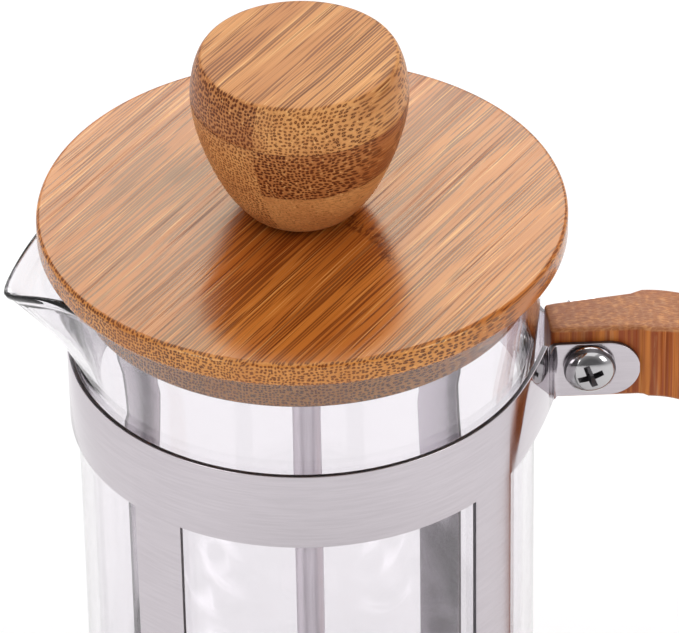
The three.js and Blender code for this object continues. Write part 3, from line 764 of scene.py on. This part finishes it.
def frame_shell():
    """The rolled sheet as strips between stations along its middle line, thickened and edge-rounded."""
    half = half_sheet_line()
    line = [(x, -y) for x, y in reversed(half[1:])] + half
    half_slat = degrees(SLAT_WIDTH / 2 / BAND_RADIUS)
    vertices, faces = [], []
    for x, y in line:
        lower, upper = ear_limits(x, LOWER_CLAMP_Z, -1), ear_limits(x, UPPER_CLAMP_Z, 1)
        vertices += [(x, y, z) for z in (*lower, *upper)]
    for i in range(len(line) - 1):
        here, there = 4 * i, 4 * i + 4
        faces += [(here, there, there + 1, here + 1), (here + 2, there + 2, there + 3, here + 3)]
        x, y = ((line[i][k] + line[i + 1][k]) / 2 for k in (0, 1))
        angle = abs(degrees(atan2(y, x)))
        if any(abs(angle - slat) < half_slat for slat in SLAT_ANGLES):
            faces.append((here + 1, there + 1, there + 2, here + 2))
    outer = BAND_RADIUS - SHEET / 2
    tab_z = FRAME_LOW.z + SHEET / 2 + 0.02
    for slat in (45, 135, 225, 315):
        turn = Matrix.Rotation(radians(slat), 3, "Z")
        start = len(vertices)
        for x, side in ((outer - TAB_REACH, -1), (outer, -1), (outer, 1), (outer - TAB_REACH, 1)):
            vertices.append(turn @ Vector((x, side * SLAT_WIDTH / 2, tab_z)))
        faces.append(tuple(range(start, start + 4)))
    piece = add_mesh("steel_frame", (vertices, faces), "frame_shell", STEEL, 30)
    sheet = piece.modifiers.new("sheet", "SOLIDIFY")
    sheet.thickness = SHEET * MM
    sheet.offset = 0
    sheet.use_even_offset = True
    # The rim faces take the dark cut-edge finish: partly the edge's own colour, partly painted shade for the
    # gap between the band and the glass.
    sheet.material_offset_rim = 1
    piece.data.materials.append(CUT_EDGE_AND_SHADE)
    bevel(piece, 0.32, 3).material = 0


def tongue_half_width(x):
    """Half the handle's width, which tapers where the ears lie along it."""
    tongue = ear_face(x) - SHEET / cos(radians(EAR_SPLAY)) - 0.15
    return tongue + (HANDLE_WIDTH / 2 - tongue) * smooth(TONGUE_END, TONGUE_END + 1.2, x)


def bezier(points, t):
    while len(points) > 1:
        points = [a.lerp(b, t) for a, b in zip(points, points[1:])]
    return points[0]


def handle_stations():
    """Pairs of points on the handle's outer and inner outline, seen from the side, from the upper
    tongue's root down to the middle of the grip."""
    centre = (HANDLE_LOW.z + HANDLE_HIGH.z) / 2
    top = HANDLE_HIGH.z - centre
    under = UPPER_CLAMP_Z - TONGUE_INSIDE - centre
    root = HANDLE_LOW.x
    inner_x = HANDLE_REACH - GRIP_DEPTH
    outer_x = HANDLE_REACH - GRIP_BOW
    inner_start = inner_x - INNER_BEND
    outer_start = TONGUE_END + 0.6
    inner_pull, outer_pull = INNER_BEND * 0.45, OUTER_BEND * 0.4
    pairs = []
    for i in range(9):
        x = root + (inner_start - root) * i / 8
        pairs.append((Vector((x, top)), Vector((x, under))))
    outer = [Vector(p) for p in ((outer_start, top), (outer_start + outer_pull, top),
                                 (outer_x, top - outer_pull), (outer_x, top - OUTER_BEND))]
    inner = [Vector(p) for p in ((inner_start, under), (inner_x - inner_pull, under),
                                 (inner_x, under - inner_pull), (inner_x, under - INNER_BEND))]
    pairs += [(bezier(outer, i / 36), bezier(inner, i / 36)) for i in range(37)]
    bow = [Vector((outer_x, top - OUTER_BEND)), Vector((HANDLE_REACH + GRIP_BOW, 0)),
           Vector((outer_x, OUTER_BEND - top))]
    for i in range(1, 13):
        t = i / 24
        pairs.append((bezier(bow, t), Vector((inner_x, (under - INNER_BEND) * (1 - 2 * t)))))
    return pairs, centre


def handle():
    """A ribbon of rounded-rectangle rings along the D, with rounded tongue ends."""
    upper, centre = handle_stations()
    lower = [(Vector((a.x, -a.y)), Vector((b.x, -b.y))) for a, b in reversed(upper[:-1])]
    stations = upper + lower
    corner_steps = 5
    end_rounding = 0.6

    def corner_ring(outer, inner, inset, shift):
        """Points round a rounded rectangle: outer face, far side, inner face, near side."""
        depth = (inner - outer).length
        heading = (inner - outer).normalized()
        edge = HANDLE_EDGE
        made = []
        for du, dv, first in ((0, 1, 180), (1, 1, 90), (1, -1, 0), (0, -1, -90)):
            for k in range(corner_steps + 1):
                angle = radians(first - 90 * k / corner_steps)
                u = edge + du * (depth - 2 * edge) + (edge - inset) * cos(angle)
                flat = outer + heading * u
                half = tongue_half_width(flat.x)
                y = dv * (half - edge) + (edge - inset) * sin(angle)
                made.append((flat.x + shift, y, centre + flat.y))
        return made

    def end_rings(pair):
        turns = (on_circle(end_rounding, angle) for angle in (90, 60, 30))
        return [corner_ring(*pair, end_rounding - x, end_rounding - y) for x, y in turns]

    rings = [*end_rings(stations[0]), *[corner_ring(*pair, 0.0, 0.0) for pair in stations[1:-1]],
             *reversed(end_rings(stations[-1]))]
    shape = [point for ring in rings for point in ring], bridged(len(rings), len(rings[0]))
    add_mesh("bamboo_handle", shape, "handle", HANDLE_BAMBOO, 50)


frame_shell()
handle()


# ---------- beaker ----------


def glass_radius(z):
    return GLASS_RADIUS + (NECK_RADIUS - GLASS_RADIUS) * smooth(SHOULDER_LOW, SHOULDER_HIGH, z)


def beaker_profile():
    low = GLASS_LOW.z + GLASS_CORNER
    floor = GLASS_LOW.z + GLASS_FLOOR
    inner_corner = GLASS_CORNER - WALL / 2
    heights = [30, 50, 70, 90, *[SHOULDER_LOW - 5 + 0.95 * i for i in range(31)]]
    bead = (RIM_RADIUS - NECK_RADIUS + WALL) / 2
    # The underside is dished, so that the glass stands on its rim.
    dish = [(0, 0.5), (8, 0.45), (18, 0.25), (25, 0.05)]
    return [
        *[(r, GLASS_LOW.z + rise) for r, rise in dish],
        *arc(GLASS_RADIUS - GLASS_CORNER, low, GLASS_CORNER, -90, 0, 8),
        *[(glass_radius(z), z) for z in heights],
        *arc(RIM_RADIUS - bead, GLASS_HIGH.z - bead, bead, -30, 210, 14),
        *[(glass_radius(z) - WALL, z) for z in reversed(heights)],
        *arc(GLASS_RADIUS - WALL - inner_corner, floor + inner_corner, inner_corner, 0, -90, 7),
        (20, floor), (8, floor + 0.1), (0, floor + 0.12),
    ]


def lip_press(angle, z):
    """How far the wall is pressed out and down for the pouring lip."""
    side = hypot(angle, LIP_TIP) - LIP_TIP
    if side >= LIP_HALF_ANGLE or z <= GLASS_HIGH.z - LIP_DEPTH:
        return 0.0, 0.0
    flank = (1 - side / LIP_HALF_ANGLE) ** 2.15
    rise = (z - GLASS_HIGH.z + LIP_DEPTH) / LIP_DEPTH
    return (LIP_REACH - RIM_RADIUS) * flank * rise**1.25, LIP_DROOP * flank**1.8 * rise


def beaker():
    vertices, faces = ring_points(beaker_profile(), 240)
    pressed = []
    for x, y, z in vertices:
        turn = (degrees(atan2(y, x)) - LIP_ANGLE + 180) % 360 - 180
        out, down = lip_press(turn, z)
        scale = 1 + out / max(1.0, hypot(x, y))
        pressed.append((x * scale, y * scale, z - down))
    add_mesh("glass_vessel", (pressed, faces), "glass_beaker", GLASS, 60)


beaker()

# ---------- lid and knob ----------


def lid():
    bore = 3.5
    seat = LID_TOP - 1.0
    disc_bottom = LID_TOP - DISC_THICKNESS
    seat_radius = 6.3
    profile = rounded([
        (bore, LID_LOW.z + 1, 0), (bore, LID_LOW.z, 0.2), (PLUG_RADIUS, LID_LOW.z, 0.9),
        (PLUG_RADIUS, disc_bottom, 0.3), (LID_RADIUS, disc_bottom, 0.8), (LID_RADIUS, LID_TOP, 0.8),
        (seat_radius, LID_TOP, 0.2), (seat_radius, seat, 0.1), (bore, seat, 0.1), (bore, LID_LOW.z + 1, 0),
    ])
    turned("bamboo_lid", profile, "lid", LID_BAMBOO, 240)


def lid_bush():
    low, high = span("lid_bush")
    bore, wall, foot, flange, lip = 2.5, 3.2, 4.8, 6.0, 0.8
    profile = rounded([
        (bore, low.z + 2, 0), (bore, low.z, 0.15), (foot, low.z, 0.25), (foot, low.z + lip, 0.1),
        (wall, low.z + lip, 0.1), (wall, high.z - lip, 0.1), (flange, high.z - lip, 0.1),
        (flange, high.z, 0.3), (bore, high.z, 0.2), (bore, low.z + 2, 0),
    ], 3)
    turned("rod_bush", profile, "lid_bush", BRIGHT, 64)


def knob():
    """The knob's side is a smooth curve, with a faint groove at each glue line."""
    marks = [(8.1, 1.0), (9.3, 2.1), (11.4, 5.0), (13.15, 8.5), (14.75, 12.7), (15.9, 17.0), (16.3, 20.8),
             (15.95, 24.0), (15.35, 26.1), (14.95, 26.85)]
    side = []
    for i in range(len(marks) - 1):
        last = len(marks) - 1
        before, here, there, after = (Vector(marks[min(max(i + k, 0), last)]) for k in (-1, 0, 1, 2))
        bend = 2 * before - 5 * here + 4 * there - after
        twist = 3 * here - before - 3 * there + after
        for k in range(8):
            t = k / 8
            side.append(0.5 * (2 * here + (there - before) * t + bend * t**2 + twist * t**3))
    for line in GLUE_LINES:
        for rise in (-0.12, -0.05, 0.0, 0.05, 0.12):
            near = min(range(len(side) - 1), key=lambda i: abs((side[i].y + side[i + 1].y) / 2 - line - rise))
            a, b = side[near], side[near + 1]
            share = (line + rise - a.y) / (b.y - a.y)
            depth = 0.02 if rise == 0.0 else 0.0
            side.append(Vector((a.x + (b.x - a.x) * share - depth, line + rise)))
        side.sort(key=lambda p: p.y)
    insert = span("knob_insert")[1].z + 0.3
    profile = [
        (0, insert), (4.3, insert), (4.3, KNOB_LOW.z), (6.9, KNOB_LOW.z), (7.5, KNOB_LOW.z + 0.1),
        *[(p.x, LID_TOP + p.y) for p in side],
        (14.95, KNOB_HIGH.z - 0.55), (14.75, KNOB_HIGH.z - 0.25), (14.4, KNOB_HIGH.z - 0.06),
        (14.0, KNOB_HIGH.z), (8, KNOB_HIGH.z), (0, KNOB_HIGH.z),
    ]
    turned("bamboo_knob", profile, "knob", KNOB_BAMBOO, 192)


lid()
lid_bush()
knob()

# ---------- screws and nuts ----------


def plain_object(name, vertices, faces):
    """A loose object in millimetres, for a boolean."""
    mesh = bpy.data.meshes.new(name)
    mesh.from_pydata([tuple(v) for v in vertices], [], faces)
    clean(mesh, 1e-5)
    return add_object(name, mesh)


def combined(base, others):
    """Vertices and faces of a solid joined or cut by others, each with its operation's name."""
    loose = [plain_object("base", *base)]
    for operation, solid in others:
        loose.append(plain_object("tool", *solid))
        step = loose[0].modifiers.new("step", "BOOLEAN")
        step.object = loose[-1]
        step.operation = operation
        step.solver = "EXACT"
    return taken(loose)


def stood(vertices, degrees, place):
    """Points about the Z axis, turned to lie along -Y, leaned about Z and moved into place."""
    pose = Matrix.Rotation(radians(degrees), 3, "Z") @ Matrix.Rotation(radians(90), 3, "X")
    return [pose @ Vector(v) + Vector(place) for v in vertices]


def recess_wing(angle):
    """One bar of the cross recess, narrower and shorter at its bottom."""
    turn = Matrix.Rotation(radians(angle), 3, "Z")
    bottom, top = HEAD_HEIGHT - RECESS_DEPTH, HEAD_HEIGHT + 0.3
    vertices = []
    for z, length, width in ((bottom, 1.8, 0.55), (top, 5.0, 1.15)):
        vertices += [turn @ Vector((sx * length / 2, sy * width / 2, z)) for sx, sy in
                     ((-1, -1), (1, -1), (1, 1), (-1, 1))]
    return vertices, bridged(2, 4)


def threaded(radius, depth, low, high, pitch):
    """The side of a threaded rod as points (radius, z), from low to high."""
    turns = int((high - low) / pitch)
    points = []
    for i in range(turns):
        z = low + pitch * i
        points += [(radius - depth, z), (radius, z + pitch * 0.4), (radius, z + pitch * 0.6)]
    return [*points, (radius, high)]


def dome_height(share):
    """Height of the screw head's domed top at a share of its radius."""
    return HEAD_RIM + (HEAD_HEIGHT - HEAD_RIM) * max(0.0, 1 - share**2.1) ** 0.5


def clamp_screw(name, node, z):
    """A pan head with a domed top and a cross recess, and a threaded shank."""
    dome = [(HEAD_RADIUS * (1 - t), dome_height(1 - t)) for t in (i / 16 for i in range(17))]
    outline = [
        (0, -SCREW_LENGTH), (SCREW_RADIUS - 0.5, -SCREW_LENGTH),
        *threaded(SCREW_RADIUS, 0.28, -SCREW_LENGTH + 0.3, -0.4, THREAD_PITCH),
        (SCREW_RADIUS, 0), (HEAD_RADIUS - 0.2, 0), (HEAD_RADIUS, 0.2), *dome,
    ]
    head = ring_points(outline, 72)
    vertices, faces = combined(head, [("DIFFERENCE", recess_wing(20)), ("DIFFERENCE", recess_wing(110))])
    seat = EAR_FACE + GAP
    lean = Matrix.Rotation(radians(-EAR_SPLAY), 3, "Z")
    place = lean @ Vector((0, -seat, 0)) + Vector((SCREW_X, 0, z))
    piece = add_mesh(name, (stood(vertices, -EAR_SPLAY, place), faces), node, SHADED_SCREW_STEEL, 30)
    piece.data.materials.append(CUT_EDGE_AND_SHADE)
    axis = lean @ Vector((0, -1, 0))
    # The recess faces get the dark finish: painted shade inside the cross recess.
    for face in piece.data.polygons:
        arm = face.center / MM - place
        height = arm.dot(axis)
        share = (arm - axis * height).length / HEAD_RADIUS
        if HEAD_RIM < height < dome_height(share) - 0.12:  # inside the recess
            face.material_index = 1
    bevel(piece, 0.06)


def clamp_nut(name, node, z):
    """A hexagon nut with chamfered corners and a threaded bore."""
    corner = NUT_WIDTH / sqrt(3)
    half = NUT_HEIGHT / 2
    hexagon = [(*on_circle(corner, 60 * i), z) for z in (-half, half) for i in range(6)], bridged(2, 6)
    face = NUT_WIDTH / 2 - 0.15
    chamfer = (corner - face) * tan(radians(30))
    barrel = ring_points([(0, -half), (face, -half), (corner, chamfer - half), (corner, half - chamfer),
                          (face, half), (0, half)], 72)
    past = half + 1
    thread = threaded(SCREW_RADIUS + 0.33, 0.25, -past, past, THREAD_PITCH)
    bore = ring_points([(0, -past), *thread, (0, past)], 40)
    vertices, faces = combined(hexagon, [("INTERSECT", barrel), ("DIFFERENCE", bore)])
    y = EAR_FACE + 0.05 + (GAP + half) * cos(radians(EAR_SPLAY))
    place = (SCREW_X + y * tan(radians(EAR_SPLAY)), y, z)
    add_mesh(name, (stood(vertices, EAR_SPLAY, place), faces), node, BRIGHT, 30)


for kind, clamp_part in (("screw", clamp_screw), ("nut", clamp_nut)):
    for level, clamp_z in (("upper", UPPER_CLAMP_Z), ("lower", LOWER_CLAMP_Z)):
        clamp_part(f"{level}_{kind}", f"{level}_clamp_{kind}", clamp_z)

# ---------- base ----------


def foot_pad():
    """A rubber disc with grooves underneath that keep it from slipping."""
    low, high = span("foot_pad")
    radius = high.x
    groove = 0.5
    under = [(0, groove, 0), (5, groove, 0.3), (5.6, 0, 0.3)]
    for at in (9.0, 13.0, 17.0, 21.0):
        under += [(at, 0, 0.3), (at + 0.5, groove, 0.2), (at + 1.1, groove, 0.2), (at + 1.6, 0, 0.3)]
    outline = rounded([*under, (radius, 0, 0.9), (radius, high.z, 0.4), (0, high.z, 0)], 3)
    turned("rubber_foot", outline, "foot_pad", PAD_RUBBER, 96)


def base_plate():
    """A thin disc with a shallow pressed ring."""
    low, high = span("base_plate")
    r, lift = high.x, 0.12
    top = [(r, high.z, 0.25), (r - 4, high.z, 0.5), (r - 5, high.z - lift, 0.5), (8, high.z - lift, 0.5),
           (7, high.z, 0.5), (0, high.z, 0)]
    outline = rounded([(0, low.z, 0), (r, low.z, 0.25), *top], 3)
    turned("steel_base", outline, "base_plate", STEEL, 120)


def glass_cushion():
    low, high = span("glass_cushion")
    r, dip = high.x, 0.25
    rings = [(0, high.z, 0)]
    for at in (8.0, 15.0, 22.0):
        rings += [(at, high.z, 0.3), (at + 0.6, high.z - dip, 0.2), (at + 1.4, high.z - dip, 0.2),
                  (at + 2.0, high.z, 0.3)]
    outline = rounded([*rings, (r, high.z, 0.4), (r, low.z, 0.3), (0, low.z, 0)], 3)
    turned("clear_cushion", outline, "glass_cushion", CLEAR_RUBBER, 96)


foot_pad()
base_plate()
glass_cushion()

# ---------- plunger ----------


def knob_insert():
    """A brass sleeve with knurled rings that hold it in the wood."""
    low, high = span("knob_insert")
    radius, bore = high.x, 2.5
    knurl = [(low.z + 1.2 + 0.8 * i + step, radius - deep) for i in range(12)
             for step, deep in ((0.0, 0.0), (0.25, 0.3), (0.5, 0.0))]
    outline = [(bore, low.z + 2), (bore, low.z + 0.3), (bore + 0.3, low.z), (radius - 0.3, low.z),
               (radius, low.z + 0.3), *[(r, z) for z, r in knurl], (radius, high.z - 0.3),
               (radius - 0.3, high.z), (bore + 0.2, high.z), (bore, high.z - 0.2)]
    turned("brass_insert", [*outline, outline[0]], "knob_insert", BRASS, 48)


def plunger_rod():
    low, high = span("plunger_rod")
    collar = span("spiral_plate")[1].z + GAP
    outline = [
        (0, low.z), (STUD_RADIUS - 0.35, low.z), *threaded(STUD_RADIUS, 0.25, low.z + 0.2, collar - 0.6, 0.5),
        (STUD_RADIUS, collar), (COLLAR_RADIUS - 0.2, collar), (COLLAR_RADIUS, collar + 0.2),
        (COLLAR_RADIUS, collar + 1.1), (COLLAR_RADIUS - 0.2, collar + 1.3), (ROD_RADIUS + 0.3, collar + 1.3),
        (ROD_RADIUS, collar + 1.6), (ROD_RADIUS, 30), (ROD_RADIUS, 80), (ROD_RADIUS, LID_TOP),
        *threaded(ROD_RADIUS, 0.25, LID_TOP + 1, high.z - 0.3, THREAD_PITCH),
        (ROD_RADIUS - 0.3, high.z), (0, high.z),
    ]
    turned("steel_rod", outline, "plunger_rod", BRIGHTENED_ROD_STEEL, 48)


def cross_plate_hub():
    """A thin nut with a knurled flange, screwed on the rod's stud."""
    low, high = span("cross_plate_hub")
    flange = high.x
    outline = [
        (STUD_RADIUS + 0.3, low.z + 0.3), (STUD_RADIUS + 0.6, low.z), (flange - 0.25, low.z),
        (flange, low.z + 0.25), (flange, low.z + 0.8), (flange - 0.2, low.z + 1.0), (HUB_RADIUS, low.z + 1.0),
        (HUB_RADIUS, high.z - 0.2), (HUB_RADIUS - 0.2, high.z), (STUD_RADIUS + 0.5, high.z),
        (STUD_RADIUS + 0.3, high.z - 0.2),
    ]
    vertices, faces = ring_points([*outline, outline[0]], 120)
    rows = len(outline) + 1
    ridged = []
    for i, (x, y, z) in enumerate(vertices):
        at_rim = hypot(x, y) > flange - 0.1
        scale = 1 - 0.03 * (i // rows % 3 == 0) * at_rim
        ridged.append((x * scale, y * scale, z))
    add_mesh("steel_hub", (ridged, faces), "cross_plate_hub", BRIGHT, 30)


def flat_plate(name, node, outlines, material):
    """A punched plate from 2-D outlines, with softened edges."""
    low, high = span(node)
    curve = bpy.data.curves.new(name, "CURVE")
    curve.dimensions = "2D"
    curve.fill_mode = "BOTH"
    edge = 0.1
    curve.extrude = (high.z - low.z) / 2 * MM - edge * MM
    curve.bevel_depth = edge * MM
    curve.bevel_resolution = 1
    curve.offset = -edge * MM
    for outline in outlines:
        spline = curve.splines.new("POLY")
        spline.points.add(len(outline) - 1)
        spline.use_cyclic_u = True
        for point, (x, y) in zip(spline.points, outline):
            point.co = (x * MM, y * MM, 0, 1)
    points, faces = taken([add_object(name + "_outline", curve)])
    middle_z = (low.z + high.z) / 2
    vertices = [(x / MM, y / MM, z / MM + middle_z) for x, y, z in points]
    add_mesh(name, (vertices, faces), node, material, 30)


def ring_outline(radius, steps, at=(0, 0)):
    return arc(*at, radius, 0, 360, steps)[:-1]


def hole_ring(count, ring_radius, radius):
    return [ring_outline(radius, 24, at) for at in ring_outline(ring_radius, count)]


def spoke_ring(count, inner, outer, spoke):
    """Openings with round inner and outer edges, parted by spokes, their corners rounded."""
    openings = []
    steps, fillet = 12, 0.9
    for i in range(count):
        corners = []
        for radius, first, last in ((outer, i, i + 1), (inner, i + 1, i)):
            trim = degrees(spoke / 2 / radius) * (last - first)
            edge = arc(0, 0, radius, 360 * first / count + trim, 360 * last / count - trim, steps)
            corners += [(*point, fillet if k in (0, steps) else 0) for k, point in enumerate(edge)]
        openings.append(rounded([*corners, corners[0]], 3)[:-1])
    return openings


def filter_plates():
    flat_plate("punched_plate", "spiral_plate",
               [ring_outline(SPIRAL_RADIUS, 144), ring_outline(CENTRE_HOLE, 32),
                *hole_ring(8, 11.5, 2.8), *hole_ring(14, 21.0, 2.8)], BRIGHT)
    flat_plate("steel_cross", "cross_plate",
               [ring_outline(CROSS_RADIUS, 144), ring_outline(HUB_RADIUS + GAP, 40),
                *spoke_ring(4, 8.0, 15.5, 4.5), *spoke_ring(8, 18.5, 26.0, 4.0)], BRIGHT)


def edge_spring():
    """A fine wire coiled round a ring."""
    low, high = span("edge_spring")
    coil = (high.z - low.z) / 2
    wire, turns, steps = 0.26, 110, 14
    ring = high.x - coil
    points = []
    for i in range(turns * steps):
        around, along = 2 * pi * i / steps, 360 * i / (turns * steps)
        x, y = on_circle(ring + (coil - wire) * cos(around), along)
        points.append((x, y, low.z + coil + (coil - wire) * sin(around)))
    add_mesh("coiled_spring", tube(points, wire, 6, closed=True), "edge_spring", BRIGHT, 60)


def clear_runs(points):
    """The stretches of a wire that stay off the centre hole."""
    runs = [[]]
    for point in points:
        if hypot(point[0], point[1]) > CENTRE_HOLE:
            runs[-1].append(point)
        elif runs[-1]:
            runs.append([])
    return [run for run in runs if len(run) > 1]


def filter_mesh():
    """Woven wires across a disc, held by a folded rim."""
    low, high = span("filter_mesh")
    radius = high.x
    pitch, wire, wave = 0.9, 0.1, 0.1
    reach = radius - 0.5
    parts = []
    count = int(reach / pitch)
    for across in range(-count, count + 1):
        offset = across * pitch
        half = sqrt(reach * reach - offset * offset)
        first = ceil(-half / (pitch / 2))
        steps = [first + i for i in range(int(half / (pitch / 2)) - first + 1)]
        for turned_over in (False, True):
            points = []
            for step in steps:
                along = step * pitch / 2
                side = 1 if (across + step // 2 + turned_over) % 2 else -1
                z = low.z + 0.2 + (wave * side if step % 2 == 0 else 0.0)
                points.append((offset, along, z) if turned_over else (along, offset, z))
            parts += [tube(run, wire, 3) for run in clear_runs(points)]
    rim = rounded([
        (radius - 1.4, low.z + 0.05, 0), (radius - 0.7, low.z + 0.05, 0.3), (radius, low.z + 0.9, 0.3),
        (radius, high.z, 0.14), (radius - 0.3, high.z, 0.14), (radius - 0.3, low.z + 1.0, 0.3),
        (radius - 0.9, low.z + 0.35, 0.3), (radius - 1.4, low.z + 0.35, 0),
    ], 3)
    parts.append(ring_points([*rim, rim[0]], 180))
    add_mesh("woven_filter", merged(parts), "filter_mesh", FILTER_STEEL, 60)


knob_insert()
plunger_rod()
cross_plate_hub()
filter_plates()
edge_spring()
filter_mesh()
